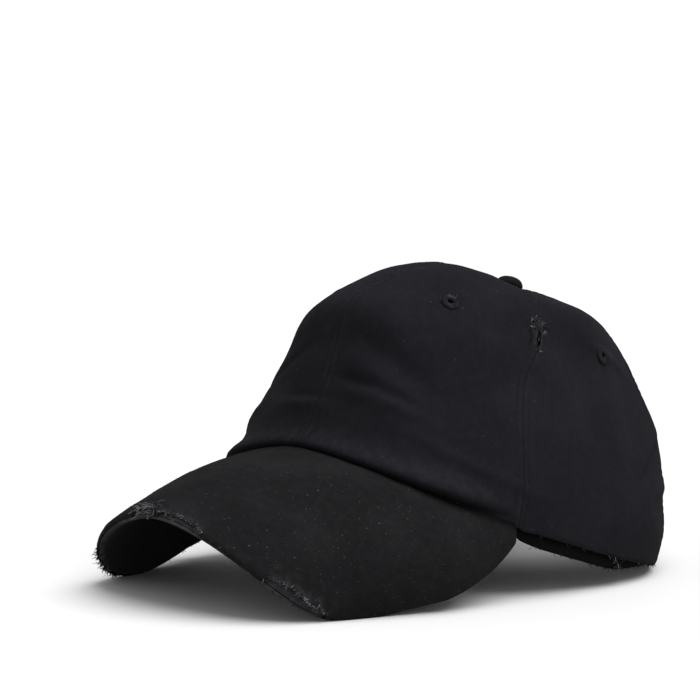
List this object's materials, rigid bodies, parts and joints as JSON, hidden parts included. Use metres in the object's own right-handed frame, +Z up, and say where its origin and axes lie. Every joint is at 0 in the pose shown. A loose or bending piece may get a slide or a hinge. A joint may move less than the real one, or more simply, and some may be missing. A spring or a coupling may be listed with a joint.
{
  "type": "ponytail baseball cap",
  "caption": "Soft black cotton baseball cap with a worn, deeply curved brim, a teardrop ponytail hole in the back and a strapped opening under it.",
  "frame": {"origin": "middle of the bounding box in plan, on the surface that the cap rests on", "axes": "+Z up, -Y toward the brim's front edge, +X toward the wearer's left"},
  "size_m": [0.1674, 0.2996, 0.1349],
  "materials": {
    "crown_cloth": "washed black cotton twill, matt, paler at worn edges",
    "brim_cloth": "washed black cotton twill with pale lint and a frayed edge",
    "brim_board": "stiff inner layer that shows where the edge is worn through",
    "band_cloth": "black cotton sweatband, matt",
    "eyelet_thread": "embroidered black thread, slightly glossy"
  },
  "bodies": {
    "root": {"front_left_panel": "crown_cloth", "side_left_panel": "crown_cloth", "back_left_panel": "crown_cloth", "back_right_panel": "crown_cloth", "side_right_panel": "crown_cloth", "front_right_panel": "crown_cloth", "eyelet_front_left": "eyelet_thread", "eyelet_side_left": "eyelet_thread", "eyelet_side_right": "eyelet_thread", "eyelet_front_right": "eyelet_thread", "top_button": "crown_cloth", "brim_top_cover": "brim_cloth", "brim_board": "brim_board", "brim_under_cover": "brim_cloth", "ponytail_binding": "crown_cloth", "strap_opening_binding": "crown_cloth", "strap_left": "crown_cloth", "strap_right": "crown_cloth", "closure_patch": "band_cloth", "sweatband": "band_cloth"}
  },
  "joints": []
}
